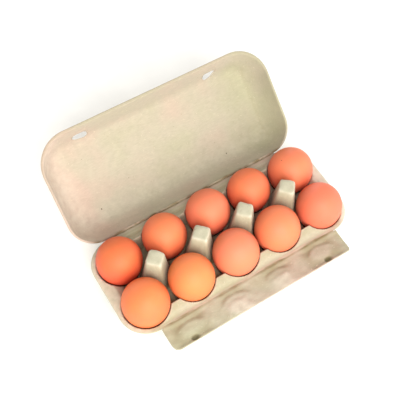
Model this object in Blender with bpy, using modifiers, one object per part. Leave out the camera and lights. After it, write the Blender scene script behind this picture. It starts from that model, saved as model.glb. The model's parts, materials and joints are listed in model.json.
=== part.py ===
# An open carton of moulded paper pulp with two rows of five eggs.
# The tray has a cup for each egg and tall posts between them. A lid is hinged along the back
# edge, and a locking flap with two pressed studs is hinged along the front edge.
# Metres, +Z up. X runs along the carton, -Y is the flap's side, +Y is the lid's side.

import math

import bmesh
import bpy
import numpy as np
from mathutils import Vector

MM = 0.001

# Layout of the cups
COLUMNS = 5
PITCH = 48.0 * MM
ROW = 24.5 * MM  # from the centre line to each row of cups
PULP = 2.0 * MM  # thickness of the moulded wall
GAP = 0.3 * MM  # clearance at each side of a crease

# Rim of the tray
RIM_Z = 30.6 * MM
RIM_END = 123.2 * MM
RIM_FRONT = 51.4 * MM
RIM_BACK = 50.7 * MM
RIM_UNDERCUT = 2.0 * MM  # how far the rim's edge slopes in below its top

# One cup: radius and height of the wall's upper face, from the floor's edge to the top
CUP_RADII = np.array([0.0, 12.5, 23.6, 24.0, 24.3, 24.6]) * MM
CUP_HEIGHTS = np.array([2.0, 2.0, 28.0, 30.6, 36.5, 62.0]) * MM

# Ridges, half posts and end platforms between the cups
SADDLE_Z = 20.0 * MM
HALF_POST_Z = 36.5 * MM
HALF_POST_TIP = 36.3 * MM  # from the centre line to the half post's inner tip
HALF_POST_FOOT = 32.0 * MM
HALF_POST_HEEL = 43.0 * MM  # where its top meets the rim's level
PLATFORM_EDGE = 112.0 * MM
PLATFORM_TIP = 105.5 * MM
PLATFORM_TIP_Z = 26.0 * MM
PLATFORM_FOOT = 101.0 * MM

# Posts between four cups: square tips that face the eggs
POST_Z = 61.5 * MM
POST_TIP_HALF = 7.25 * MM
POST_BASE_HALF = 11.4 * MM
POST_FLARE = 1.3

# Eggs: largest radius, offset in its cup (x, y), drop, and lean towards the front in degrees
EGG_Z = 36.5 * MM
EGG_BLUNT = 1.134  # height over the widest level, as a share of the radius
EGG_POINT = 1.43  # depth under it
EGG_TAPER = 0.13
FRONT_EGGS = (
    (22.2, -0.5, 0.4, 0.0, 0.0),
    (21.8, -0.4, 0.2, 0.0, 0.0),
    (22.1, 0.2, 0.2, 0.0, 0.0),
    (22.0, -0.5, 0.4, 0.0, 0.0),
    (22.1, 0.5, 0.0, 0.0, 0.0),
)
BACK_EGGS = (
    (21.7, -0.8, -0.5, 0.0, 0.0),
    (21.3, 0.0, 0.9, 0.0, 0.0),
    (21.6, 0.6, 0.9, 0.0, 0.0),
    (21.1, -0.5, 0.5, 0.0, 0.0),
    (22.2, 0.5, -1.0, 1.0, 4.0),
)

# Lid, measured from its hinge: depth, end wall, far wall and hinge wall of the inner face
LID_HINGE_Y = 51.0 * MM
LID_HINGE_Z = 30.75 * MM
LID_OPEN = math.radians(140.4)
LID_WALLS = np.array([
    (0.15, 123.2, 110.1, 1.9),
    (0.15, 121.2, 107.2, 1.95),
    (6.0, 120.2, 105.0, 2.6),
    (14.0, 118.5, 101.6, 4.3),
    (20.0, 116.6, 98.9, 6.4),
    (26.0, 113.6, 95.9, 10.4),
    (31.0, 108.5, 91.0, 17.0),
    (33.0, 102.5, 85.0, 25.0),
]) * MM
LID_FAR_RADIUS = 33.0 * MM
LID_NEAR_RADIUS = 27.0 * MM
LID_RADIUS_LOSS = 1.0  # radius that the corners lose for each unit of inset
LID_CORNER_STEPS = 7

# Slots in the lid's far wall, and the studs on the flap that snap into them
SLOT_X = 73.7 * MM
SLOT_DEPTH = 20.4 * MM
SLOT_HEIGHT = 5.6 * MM
SLOT_CUT = 12.0 * MM
# Each slot's middle and length along the wall, and the part of the wall that the mould's core opens
# towards the top, as distances from the hinge and depths from the rim
SLOT_SPANS = {"left": (-72.5 * MM, 16.0 * MM), "right": (72.0 * MM, 13.5 * MM)}
CORE_REACH = (95.0 * MM, 99.9 * MM)
CORE_DEPTH = (14.0 * MM, 38.0 * MM)

# Flap
FLAP_HINGE_Y = -51.7 * MM
FLAP_LEFT = -96.0 * MM
FLAP_RIGHT = 97.5 * MM
FLAP_LENGTH = 24.6 * MM
FLAP_LEFT_CORNER = 5.0 * MM
FLAP_RIGHT_CORNER = 1.5 * MM
PAD_HEIGHT = 1.6 * MM
HOLLOW_DEPTH = 1.4 * MM
STUD_REACH = 20.8 * MM  # from the flap's hinge to the studs
STUD_BASE = (4.8 * MM, 3.2 * MM)
STUD_TIP = (2.2 * MM, 1.4 * MM)
STUD_DEPTH = 4.6 * MM
DIMPLE_DEPTH = 3.4 * MM
DIMPLE_EDGE = 0.75  # depth beside its middle, as a share


# Collections and materials.
def clear_scene():
    for old in list(bpy.data.objects):
        bpy.data.objects.remove(old, do_unlink=True)


def make_collection(name):
    collection = bpy.data.collections.new(name)
    bpy.context.scene.collection.children.link(collection)
    return collection


def make_material(name, colour, roughness):
    material = bpy.data.materials.new(name)
    material.use_nodes = True
    shader = material.node_tree.nodes["Principled BSDF"]
    shader.inputs["Base Color"].default_value = (*colour, 1.0)
    shader.inputs["Roughness"].default_value = roughness
    shader.inputs["Metallic"].default_value = 0.0
    material.diffuse_color = (*colour, 1.0)
    return material


def make_object(name, bm, collection, material, parent):
    mesh = bpy.data.meshes.new(name)
    bm.to_mesh(mesh)
    bm.free()
    mesh.shade_smooth()
    mesh.set_sharp_from_angle(angle=math.radians(40.0))
    mesh.materials.append(material)
    obj = bpy.data.objects.new(name, mesh)
    collection.objects.link(obj)
    obj.parent = parent
    return obj


# Height of the moulded tray.
def nearest_cup_distance(x, y):
    column = np.clip(np.round(x / PITCH), -(COLUMNS // 2), COLUMNS // 2)
    row = np.where(y < 0.0, -ROW, ROW)
    return np.hypot(x - column * PITCH, y - row)


def web_height(x, y):
    half_post = np.interp(
        np.abs(y),
        [HALF_POST_FOOT, HALF_POST_TIP, HALF_POST_HEEL],
        [SADDLE_Z, HALF_POST_Z, RIM_Z],
    )
    platform = np.interp(
        np.abs(x),
        [PLATFORM_FOOT, PLATFORM_TIP, PLATFORM_EDGE],
        [SADDLE_Z, PLATFORM_TIP_Z, RIM_Z],
    )
    between_cups = np.abs(x) < COLUMNS // 2 * PITCH
    beside_cups = np.where(np.abs(y) > ROW, RIM_Z, platform)
    return np.where(between_cups, half_post, beside_cups)


def post_height(x, y):
    gap = np.clip(np.floor(x / PITCH), -(COLUMNS // 2), COLUMNS // 2 - 1)
    from_post = x - (gap + 0.5) * PITCH
    reach = (np.abs(from_post) + np.abs(y)) / math.sqrt(2.0)
    run = (reach - POST_TIP_HALF) / (POST_BASE_HALF - POST_TIP_HALF)
    fall = np.maximum(run, 0.0) ** (1.0 / POST_FLARE)
    return POST_Z - (POST_Z - RIM_Z) * fall


def tray_height(x, y):
    cups = np.interp(nearest_cup_distance(x, y), CUP_RADII, CUP_HEIGHTS)
    return np.maximum(np.minimum(cups, web_height(x, y)), post_height(x, y))


def tray_underside(x, y):
    # The lower face lies one wall thickness under the upper face, measured across the wall.
    lowest = tray_height(x, y) - PULP
    for share in (0.35, 0.7, 0.9, 0.995):
        radius = PULP * share
        drop = PULP * math.sqrt(1.0 - share * share)
        for angle in np.linspace(0.0, 2.0 * math.pi, 16, endpoint=False):
            sample = tray_height(x + radius * math.cos(angle), y + radius * math.sin(angle))
            lowest = np.minimum(lowest, sample - drop)
    return np.maximum(lowest, 0.0)


# Layout of the tray's mesh.
# Each cup is a square block of quads, RINGS rings wide, whose inner rings are drawn to circles.
RINGS = 4
RING_RADII = (0.0, 12.5 * MM, 20.4 * MM)
RING_CUP_TOP = 24.3 * MM
RING_RIDGE = 22.0 * MM
RING_POST = 27.05 * MM
# Shares of the way from the cup's axis line to the block's corner, along each kind of edge
EDGE_TO_POST = (0.0, 0.26, 0.58, 0.79, 1.0)
EDGE_TO_HALF_POST = (0.0, 0.28, 0.44, 0.9, 1.0)
EDGE_TO_PLATFORM = (0.0, 0.26, 0.44, 0.6, 1.0)
EDGE_EVEN = (0.0, 0.25, 0.5, 0.75, 1.0)


def block_sides(column, row, turn_x, turn_y):
    """Half sizes of a block towards one of its corners, and whether each side is a rim."""
    at_end = column * turn_x == COLUMNS // 2
    outward = row * turn_y > 0
    half_x = RIM_END - abs(column) * PITCH if at_end else PITCH / 2.0
    if outward:
        half_y = (RIM_BACK if row > 0 else RIM_FRONT) - ROW
    else:
        half_y = ROW
    return half_x, half_y, at_end, outward


def edge_point(column, row, turn_x, turn_y, a, b):
    half_x, half_y, at_end, outward = block_sides(column, row, turn_x, turn_y)
    if at_end and outward:
        angle = math.radians(45.0) * (b / a if a >= b else 2.0 - a / b)
        return half_x * math.cos(angle), half_y * math.sin(angle)
    if a >= b:
        if at_end:
            shares = EDGE_EVEN
        else:
            shares = EDGE_TO_HALF_POST if outward else EDGE_TO_POST
        return half_x, half_y * shares[b]
    if outward:
        shares = EDGE_EVEN
    else:
        shares = EDGE_TO_PLATFORM if at_end else EDGE_TO_POST
    return half_x * shares[a], half_y


def ring_radius(ring, at_end, outward, a, b):
    if ring < RINGS - 1:
        return RING_RADII[ring]
    if outward and at_end:
        return RING_CUP_TOP
    if outward:
        return RING_CUP_TOP if b >= 2 else RING_RIDGE
    if at_end:
        return RING_CUP_TOP if a >= 2 else RING_RIDGE
    return RING_POST if a == b else RING_RIDGE


def block_point(column, row, u, v):
    """Place of the grid point (u, v) of a block, each from -RINGS to RINGS."""
    turn_x = 1 if u >= 0 else -1
    turn_y = 1 if v >= 0 else -1
    a = abs(u)
    b = abs(v)
    ring = max(a, b)
    if ring == RINGS:
        dx, dy = edge_point(column, row, turn_x, turn_y, a, b)
    elif ring == 0:
        dx, dy = 0.0, 0.0
    else:
        at_end, outward = block_sides(column, row, turn_x, turn_y)[2:]
        radius = ring_radius(ring, at_end, outward, a, b)
        angle = math.radians(45.0) * (b / a if a >= b else 2.0 - a / b)
        dx = radius * math.cos(angle)
        dy = radius * math.sin(angle)
    return column * PITCH + turn_x * dx, row * ROW + turn_y * dy


def tray_point(i, j):
    span = 2 * RINGS
    block_x = min(i // span, COLUMNS - 1)
    block_y = min(j // span, 1)
    column = block_x - COLUMNS // 2
    row = 2 * block_y - 1
    return block_point(column, row, i - block_x * span - RINGS, j - block_y * span - RINGS)


def rim_inset(x, y):
    """Moves a point of the outline inwards by the rim's undercut."""
    corner_x = COLUMNS // 2 * PITCH
    if abs(x) <= corner_x:
        return x, y - math.copysign(RIM_UNDERCUT, y)
    if abs(y) <= ROW:
        return x - math.copysign(RIM_UNDERCUT, x), y
    away = Vector((abs(x) - corner_x, abs(y) - ROW))
    away.length -= RIM_UNDERCUT
    return math.copysign(corner_x + away.x, x), math.copysign(ROW + away.y, y)


def split_along_slope(bm):
    """Halves each quad across the diagonal that lies closer to the moulded surface."""
    for face in list(bm.faces):
        corners = list(face.verts)
        heights = [float(tray_height(v.co.x, v.co.y)) for v in corners]
        middle = face.calc_center_median()
        target = float(tray_height(middle.x, middle.y))
        first = abs((heights[0] + heights[2]) / 2.0 - target)
        second = abs((heights[1] + heights[3]) / 2.0 - target)
        start = 0 if first <= second else 1
        bmesh.utils.face_split(face, corners[start], corners[start + 2])


def make_tray(collection, material, parent):
    columns = 2 * RINGS * COLUMNS
    rows = 2 * RINGS * 2
    bm = bmesh.new()
    bmesh.ops.create_grid(bm, x_segments=columns, y_segments=rows, size=0.5)
    for vert in bm.verts:
        i = round((vert.co.x + 0.5) * columns)
        j = round((vert.co.y + 0.5) * rows)
        vert.co.x, vert.co.y = tray_point(i, j)
    split_along_slope(bm)
    lower = list(bm.verts)
    border = {vert for vert in lower if vert.is_boundary}
    bmesh.ops.extrude_face_region(bm, geom=bm.faces[:])
    lower_set = set(lower)
    for vert in bm.verts:
        x, y = vert.co.x, vert.co.y
        if vert not in lower_set:
            vert.co.z = float(tray_height(x, y))
        elif vert in border:
            vert.co.x, vert.co.y = rim_inset(x, y)
            vert.co.z = RIM_Z - PULP
        else:
            vert.co.z = float(tray_underside(x, y))
    bmesh.ops.recalc_face_normals(bm, faces=bm.faces[:])
    return make_object("tray", bm, collection, material, parent)


# Eggs.
def make_egg(name, size, place, collection, material, parent):
    radius, shift_x, shift_y, drop, lean = size
    radius = radius * MM
    bm = bmesh.new()
    bmesh.ops.create_uvsphere(bm, u_segments=16, v_segments=11, radius=1.0)
    for vert in bm.verts:
        height = vert.co.z
        if height < 0.0:
            narrowing = 1.0 - EGG_TAPER * height * height
            vert.co.x *= narrowing
            vert.co.y *= narrowing
        vert.co.z *= EGG_BLUNT if height > 0.0 else EGG_POINT
        vert.co *= radius
    egg = make_object(name, bm, collection, material, parent)
    egg.location = (place[0] + shift_x * MM, place[1] + shift_y * MM, EGG_Z - drop * MM)
    egg.rotation_euler.x = math.radians(lean)
    return egg


def make_eggs(collection, material, parent):
    for row_name, row_y, sizes in (("front", -ROW, FRONT_EGGS), ("back", ROW, BACK_EGGS)):
        for number, size in enumerate(sizes):
            place = ((number - COLUMNS // 2) * PITCH, row_y)
            name = f"egg_{row_name}_{number + 1}"
            make_egg(name, size, place, collection, material, parent)


# Lid.
def lid_section(depth, end, far, near):
    """One level of the lid's inner face: a rounded rectangle, hinge side at the origin."""
    inset = LID_WALLS[0][1] - end
    far_radius = LID_FAR_RADIUS - LID_RADIUS_LOSS * inset
    near_radius = LID_NEAR_RADIUS - LID_RADIUS_LOSS * inset
    corners = (
        (end, far, far_radius, 0.0),
        (-end, far, far_radius, 90.0),
        (-end, near, near_radius, 180.0),
        (end, near, near_radius, 270.0),
    )
    points = []
    for side_x, side_s, radius, start in corners:
        centre_x = side_x - math.copysign(radius, side_x)
        centre_s = side_s - radius if start < 180.0 else side_s + radius
        for step in range(LID_CORNER_STEPS + 1):
            angle = math.radians(start + 90.0 * step / LID_CORNER_STEPS)
            x = centre_x + radius * math.cos(angle)
            s = centre_s + radius * math.sin(angle)
            points.append((x, -s, depth))
    return points


def loft(bm, sections):
    loops = [[bm.verts.new(point) for point in section] for section in sections]
    count = len(loops[0])
    for outer, inner in zip(loops, loops[1:]):
        for k in range(count):
            after = (k + 1) % count
            bm.faces.new((outer[k], outer[after], inner[after], inner[k]))
    bm.faces.new(loops[-1])


def make_slot_cutter(name, size, cutters, parent):
    bm = bmesh.new()
    bmesh.ops.create_cube(bm, size=1.0)
    bmesh.ops.scale(bm, vec=size, verts=bm.verts[:])
    mesh = bpy.data.meshes.new(name)
    bm.to_mesh(mesh)
    bm.free()
    cutter = bpy.data.objects.new(name, mesh)
    cutters.objects.link(cutter)
    cutter.parent = parent
    cutter.hide_render = True
    cutter.display_type = "WIRE"
    return cutter


def make_slot_cutters(side, cutters, parent):
    """One cutter square to the wall, for the stud, and one along the mould's pull."""
    x, length = SLOT_SPANS[side]
    depths = LID_WALLS[:, 0]
    reach = float(np.interp(SLOT_DEPTH, depths, LID_WALLS[:, 2]))
    slope = float(np.interp(SLOT_DEPTH + MM, depths, LID_WALLS[:, 2])) - reach
    stud = make_slot_cutter(f"stud_cutter_{side}", (length, SLOT_CUT, SLOT_HEIGHT), cutters, parent)
    stud.location = (x, -reach, SLOT_DEPTH)
    stud.rotation_euler.x = -math.atan2(slope, MM)
    near, far = CORE_REACH
    shallow, deep = CORE_DEPTH
    core = make_slot_cutter(f"core_cutter_{side}", (length, far - near, deep - shallow), cutters, parent)
    core.location = (x, -(near + far) / 2.0, (shallow + deep) / 2.0)
    return [stud, core]


def make_lid(collection, cutters, material, parent):
    bm = bmesh.new()
    loft(bm, [lid_section(*level) for level in LID_WALLS])
    bmesh.ops.recalc_face_normals(bm, faces=bm.faces[:])
    lid = make_object("lid", bm, collection, material, parent)
    lid.location = (0.0, LID_HINGE_Y, LID_HINGE_Z)
    lid.rotation_euler.x = -LID_OPEN
    wall = lid.modifiers.new("wall", "SOLIDIFY")
    wall.thickness = PULP
    wall.offset = 1.0
    wall.use_even_offset = True
    for side in SLOT_SPANS:
        for cutter in make_slot_cutters(side, cutters, lid):
            cut = lid.modifiers.new(cutter.name, "BOOLEAN")
            cut.operation = "DIFFERENCE"
            cut.solver = "EXACT"
            cut.object = cutter
    return lid


# Flap.
def smooth_bump(distance):
    return np.cos(np.clip(distance, 0.0, 1.0) * math.pi / 2.0) ** 2


def flap_relief(x, reach):
    """Height of the flap's upper face: pads in front of the cup gaps, hollows at their feet."""
    gap = np.clip(np.round(x / PITCH - 0.5), -2, 1)
    across = x - (gap + 0.5) * PITCH
    outer_gap = np.abs(x) > PITCH
    hollow = smooth_bump(np.hypot(across / (14.0 * MM), (reach - 5.5 * MM) / (4.0 * MM)))
    pad_reach = np.where(outer_gap, 13.0 * MM, 17.0 * MM)
    pad_half = np.where(outer_gap, 4.5 * MM, 8.0 * MM)
    pad = smooth_bump(np.hypot(across / (13.0 * MM), (reach - pad_reach) / pad_half))
    return PAD_HEIGHT * pad - HOLLOW_DEPTH * hollow


def stud_share(x, reach):
    """1 at a stud's tip, falling to 0 at its foot."""
    dx = np.abs(np.abs(x) - SLOT_X)
    dy = np.abs(reach - STUD_REACH)
    share_x = (STUD_BASE[0] - dx) / (STUD_BASE[0] - STUD_TIP[0])
    share_y = (STUD_BASE[1] - dy) / (STUD_BASE[1] - STUD_TIP[1])
    return np.clip(np.minimum(share_x, share_y), 0.0, 1.0)


def flap_length(x):
    """Length of the flap at x, shorter at its rounded corners."""
    left = FLAP_LEFT_CORNER - (x - FLAP_LEFT)
    right = FLAP_RIGHT_CORNER - (FLAP_RIGHT - x)
    length = FLAP_LENGTH
    if left > 0.0:
        length -= FLAP_LEFT_CORNER - math.sqrt(FLAP_LEFT_CORNER**2 - left**2)
    if right > 0.0:
        length -= FLAP_RIGHT_CORNER - math.sqrt(FLAP_RIGHT_CORNER**2 - right**2)
    return length


def flap_lines():
    """Grid lines of the flap, across it and along its length."""
    columns = [FLAP_LEFT, FLAP_LEFT + 1.5 * MM, FLAP_LEFT + FLAP_LEFT_CORNER]
    columns += [FLAP_RIGHT - FLAP_RIGHT_CORNER, FLAP_RIGHT, 0.0]
    for side in (-1.0, 1.0):
        for away in (-STUD_BASE[0], -STUD_TIP[0], 0.0, STUD_TIP[0], STUD_BASE[0]):
            columns.append(side * (SLOT_X + away))
        columns += [side * away * MM for away in (11.0, 17.5, 24.0, 30.5, 37.0, 47.0, 58.0, 63.5, 85.0)]
    rows = [GAP, 3.0 * MM, 5.5 * MM, 8.5 * MM, 13.0 * MM, FLAP_LENGTH]
    for away in (-STUD_BASE[1], -STUD_TIP[1], 0.0, STUD_TIP[1], STUD_BASE[1]):
        rows.append(STUD_REACH + away)
    return sorted(columns), sorted(rows)


def make_flap(collection, material, parent):
    columns, rows = flap_lines()
    last_column = len(columns) - 1
    last_row = len(rows) - 1
    bm = bmesh.new()
    bmesh.ops.create_grid(bm, x_segments=last_column, y_segments=last_row, size=0.5)
    for vert in bm.verts:
        x = columns[round((vert.co.x + 0.5) * last_column)]
        reach = rows[round((vert.co.y + 0.5) * last_row)]
        vert.co.x = x
        vert.co.y = -reach * flap_length(x) / FLAP_LENGTH
    bmesh.ops.triangulate(bm, faces=bm.faces[:])
    lower = set(bm.verts)
    bmesh.ops.extrude_face_region(bm, geom=bm.faces[:])
    for vert in bm.verts:
        x = vert.co.x
        reach = -vert.co.y
        stud = float(stud_share(x, reach))
        height = float(flap_relief(x, reach))
        if vert in lower:
            vert.co.z = height - PULP - STUD_DEPTH * stud
            if reach < 2.0 * GAP:
                vert.co.y -= RIM_UNDERCUT
        else:
            beside = abs(reach - STUD_REACH) + abs(abs(x) - SLOT_X) > GAP
            vert.co.z = height - DIMPLE_DEPTH * stud * (DIMPLE_EDGE if beside else 1.0)
    bmesh.ops.recalc_face_normals(bm, faces=bm.faces[:])
    flap = make_object("flap", bm, collection, material, parent)
    flap.location = (0.0, FLAP_HINGE_Y, RIM_Z)
    return flap


# The carton.
def rearmost_point(obj):
    """Largest Y of an object's finished mesh."""
    finished = obj.evaluated_get(bpy.context.evaluated_depsgraph_get())
    return max((finished.matrix_world @ vert.co).y for vert in finished.to_mesh().vertices)


def main():
    clear_scene()
    collection = make_collection("egg_carton")
    cutters = make_collection("cutters")
    pulp = make_material("moulded_pulp", (0.78, 0.70, 0.50), 0.95)
    shell = make_material("eggshell", (0.90, 0.42, 0.20), 0.5)
    carton = bpy.data.objects.new("carton", None)
    collection.objects.link(carton)
    make_tray(collection, pulp, carton)
    make_eggs(collection, shell, carton)
    lid = make_lid(collection, cutters, pulp, carton)
    make_flap(collection, pulp, carton)
    carton.location.y = -(rearmost_point(lid) + FLAP_HINGE_Y - FLAP_LENGTH) / 2.0


main()
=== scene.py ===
import json
import math
from functools import partial

import bmesh
import bpy
import numpy as np
from mathutils import Matrix, Vector

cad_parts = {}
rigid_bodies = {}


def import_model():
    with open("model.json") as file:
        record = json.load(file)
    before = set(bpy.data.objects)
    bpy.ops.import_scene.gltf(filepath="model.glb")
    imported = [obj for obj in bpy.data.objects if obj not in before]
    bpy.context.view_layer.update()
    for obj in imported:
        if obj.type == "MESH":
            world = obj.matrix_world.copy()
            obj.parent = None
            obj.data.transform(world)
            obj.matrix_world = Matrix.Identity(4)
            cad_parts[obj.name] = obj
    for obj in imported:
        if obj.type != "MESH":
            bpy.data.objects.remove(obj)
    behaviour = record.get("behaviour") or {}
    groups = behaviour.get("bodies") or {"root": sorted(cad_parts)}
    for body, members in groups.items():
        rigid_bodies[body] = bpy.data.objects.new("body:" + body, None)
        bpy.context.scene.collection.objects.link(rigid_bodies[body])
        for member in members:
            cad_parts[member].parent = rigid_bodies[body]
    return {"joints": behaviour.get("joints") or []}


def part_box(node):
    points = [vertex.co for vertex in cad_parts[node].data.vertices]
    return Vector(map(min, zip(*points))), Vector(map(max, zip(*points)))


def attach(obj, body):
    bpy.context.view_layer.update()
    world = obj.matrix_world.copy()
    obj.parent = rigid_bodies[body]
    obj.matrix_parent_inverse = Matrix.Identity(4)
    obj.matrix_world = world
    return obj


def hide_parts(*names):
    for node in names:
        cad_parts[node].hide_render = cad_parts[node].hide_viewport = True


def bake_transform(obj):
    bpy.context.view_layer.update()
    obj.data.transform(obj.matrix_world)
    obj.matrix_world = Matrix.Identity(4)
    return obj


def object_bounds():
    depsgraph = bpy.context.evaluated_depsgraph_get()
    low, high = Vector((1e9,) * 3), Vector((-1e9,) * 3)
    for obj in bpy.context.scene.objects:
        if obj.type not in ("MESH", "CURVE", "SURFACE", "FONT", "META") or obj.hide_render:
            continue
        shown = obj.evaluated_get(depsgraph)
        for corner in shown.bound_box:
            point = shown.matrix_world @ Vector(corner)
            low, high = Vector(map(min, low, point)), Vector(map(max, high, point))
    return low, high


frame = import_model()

cadLow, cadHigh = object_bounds()
mm = 0.001

joints = {joint["name"]: joint for joint in frame["joints"]}
lidAxis = joints["lid_hinge"]["pos_m"]
flapAxis = joints["flap_hinge"]["pos_m"]
trayLow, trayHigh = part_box("tray")


# Small helpers for numbers and meshes

# 0 at start, 1 at start + width and beyond; a negative width falls off downwards.
def ramp(value, start, width):
    return np.clip((value - start) / width, 0.0, 1.0)


# Value noise from -1 to 1; x, y, z and size in the same unit.
def smoothNoise(x, y, z, size, seed):
    values = np.random.default_rng(seed).random((20, 20, 20)) * 2.0 - 1.0
    cells, shares = [], []
    for axis in np.broadcast_arrays(x, y, z):
        scaled = axis / size + 1000.37
        cell = np.floor(scaled)
        share = scaled - cell
        cells.append(cell.astype(int))
        shares.append(share * share * (3.0 - 2.0 * share))
    total = 0.0
    for corner in range(8):
        steps = [(corner >> k) & 1 for k in range(3)]
        weight = 1.0
        for share, step in zip(shares, steps):
            weight = weight * (share if step else 1.0 - share)
        place = tuple((cell + step) % 20 for cell, step in zip(cells, steps))
        total = total + weight * values[place]
    return total


def makeMesh(name, points, faces, attributes=None):
    mesh = bpy.data.meshes.new(name)
    mesh.from_pydata(np.asarray(points).tolist(), [], faces)
    for label, values in (attributes or {}).items():
        layer = mesh.attributes.new(label, "FLOAT", "POINT")
        layer.data.foreach_set("value", np.asarray(values, np.float32))
    mesh.update()
    return mesh


def tidyMesh(mesh, merge=0.004 * mm):
    bm = bmesh.new()
    bm.from_mesh(mesh)
    bmesh.ops.remove_doubles(bm, verts=bm.verts[:], dist=merge)
    bmesh.ops.dissolve_degenerate(bm, edges=bm.edges[:], dist=merge)
    bmesh.ops.recalc_face_normals(bm, faces=bm.faces[:])
    bm.to_mesh(mesh)
    bm.free()
    mesh.shade_smooth()
    return mesh


def makePiece(name, mesh, material):
    piece = bpy.data.objects.new(name, mesh)
    bpy.context.scene.collection.objects.link(piece)
    if material is not None:
        mesh.materials.clear()
        mesh.materials.append(material)
    return piece


# Quads over a 2-D array of vertex numbers.
def gridFaces(index):
    a, b, c, d = index[:-1, :-1], index[1:, :-1], index[1:, 1:], index[:-1, 1:]
    return np.stack([a, b, c, d], -1).reshape(-1, 4).tolist()


# Quads between two closed loops of the same length.
def ringFaces(first, second):
    return [[a, b, c, d] for a, b, c, d in zip(first, np.roll(first, -1), np.roll(second, -1), second)]


# Colour and material helpers

def hexColour(text, alpha=1.0):
    parts = [int(text[k:k + 2], 16) / 255.0 for k in (1, 3, 5)]
    linear = [p / 12.92 if p <= 0.04045 else ((p + 0.055) / 1.055) ** 2.4 for p in parts]
    return (*linear, alpha)


# Adds a node; "add" below is this function for one tree. Settings hold its properties, input values
# and ramp stops, links the source of each linked input.
def addNode(tree, kind, settings=None, links=None):
    node = tree.nodes.new(kind)
    for key, value in (settings or {}).items():
        if key == "stops":
            elements = node.color_ramp.elements
            while len(elements) < len(value):
                elements.new(1.0)
            for stop, (place, colour) in zip(elements, value):
                stop.position = place
                stop.color = colour
        elif isinstance(key, str) and hasattr(node, key):
            setattr(node, key, value)
        else:
            node.inputs[key].default_value = value
    return connect(node, links or {})


# A source is a socket, or a node for its first output.
def connect(node, links):
    for key, source in links.items():
        socket = source.outputs[0] if hasattr(source, "outputs") else source
        node.id_data.links.new(socket, node.inputs[key])
    return node


def startMaterial(name):
    material = bpy.data.materials.new(name)
    material.use_nodes = True
    add = partial(addNode, material.node_tree)
    place = add("ShaderNodeTexCoord").outputs["Object"]
    return material, add, material.node_tree.nodes["Principled BSDF"], place


# A colour socket with small round specks of another colour over it, in a share of a pattern's cells.
def sprinkle(add, place, under, colour, gap, size, gain, least):
    cells = add("ShaderNodeTexVoronoi", {"Scale": 1.0 / (gap * mm)}, {"Vector": place})
    near = add("ShaderNodeMath", {"operation": "LESS_THAN", 1: size}, {0: cells})
    lot = add("ShaderNodeSeparateColor", links={"Color": cells.outputs["Color"]})
    chosen = add("ShaderNodeMath", {"operation": "MULTIPLY_ADD", 1: gain, 2: -least, "use_clamp": True},
        {0: lot})
    speck = add("ShaderNodeMath", {"operation": "MULTIPLY"}, {0: near, 1: chosen})
    return add("ShaderNodeMix", {"data_type": "RGBA", 7: hexColour(colour)},
        {0: speck, 6: under}).outputs[2]


# Moulded paper pulp: matt and dusty, felted from short fibres, with soft cloudy tints where the
# slurry settled, a few dark flecks of old print, paler fuzz on edges that rub, painted light that
# pales some faces, and painted shade in hollows and creases.
pulp = {
    "base": "#B8AF9A",
    "pink": "#C1AC9B",
    "green": "#B2AE92",
    "shade": "#857855",
    # pale colour of rubbed edges and of painted light
    "paleWornAndLit": "#DAD1BF",
    "fleck": "#5F5440",
    "cloud": 46.0,      # mm across one soft patch
    "lump": 6.0,        # mm, unevenness that the felt of the mould leaves
    "fibre": 0.9,       # mm; real fibres are near 0.05 mm wide, drawn coarser so that they show
    "fleckGap": 7.0,    # mm between flecks
    "roughness": 0.93,
}


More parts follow.
